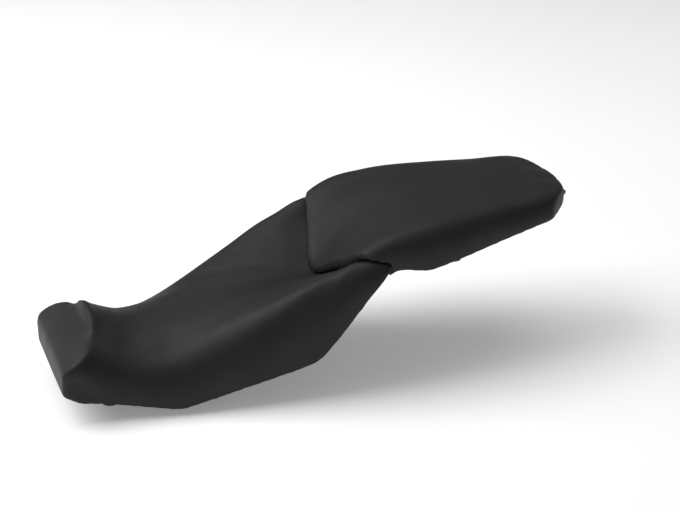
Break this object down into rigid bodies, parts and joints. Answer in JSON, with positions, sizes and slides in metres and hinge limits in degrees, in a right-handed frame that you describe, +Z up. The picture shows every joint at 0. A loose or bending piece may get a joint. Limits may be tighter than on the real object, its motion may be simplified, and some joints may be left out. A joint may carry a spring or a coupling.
{
  "type": "motorcycle seat",
  "caption": "Motorcycle seat in two pieces: a long saddle-shaped rider seat, and a separate pillion seat whose blunt pointed nose overlaps its rear.",
  "frame": {"origin": "midway between the two bolt holes of the rider seat's rear bracket, on the underside of its flange", "axes": "+X to the rear of the motorcycle, +Y to its right, +Z up"},
  "size_m": [0.742, 0.279, 0.2267],
  "materials": {
    "seat_vinyl": "matt black vinyl with a fine grain",
    "seat_foam": "moulded polyurethane foam, open-pored skin",
    "moulded_plastic": "glass-filled plastic, as moulded",
    "foot_rubber": "matt black rubber",
    "insert_brass": "knurled brass",
    "coated_steel": "black e-coat, satin",
    "zinc_steel": "bright zinc plate",
    "staple_steel": "galvanised wire"
  },
  "bodies": {
    "rider_seat": {"rider_cover": "seat_vinyl", "rider_foam": "seat_foam", "rider_base_pan": "moulded_plastic", "rider_front_tongue": "coated_steel", "rider_rear_bracket": "coated_steel", "rider_tongue_screws": "zinc_steel", "rider_bracket_screws": "zinc_steel", "rider_threaded_inserts": "insert_brass", "rider_cover_staples": "staple_steel", "rider_front_bumpers": "foot_rubber", "rider_middle_bumpers": "foot_rubber", "rider_rear_bumpers": "foot_rubber"},
    "pillion_seat": {"pillion_cover": "seat_vinyl", "pillion_foam": "seat_foam", "pillion_base_pan": "moulded_plastic", "pillion_rear_tongue": "coated_steel", "pillion_tongue_screws": "zinc_steel", "pillion_threaded_inserts": "insert_brass", "pillion_striker": "zinc_steel", "pillion_striker_plate": "zinc_steel", "pillion_striker_nuts": "zinc_steel", "pillion_striker_washers": "zinc_steel", "pillion_front_bumpers": "foot_rubber", "pillion_rear_bumpers": "foot_rubber", "pillion_cover_staples": "staple_steel"}
  },
  "joints": [
    {"name": "pillion_lift_off", "type": "slide", "parent": "rider_seat", "child": "pillion_seat", "axis": [0, 0, 1], "range_m": [0, 0.14]}
  ]
}
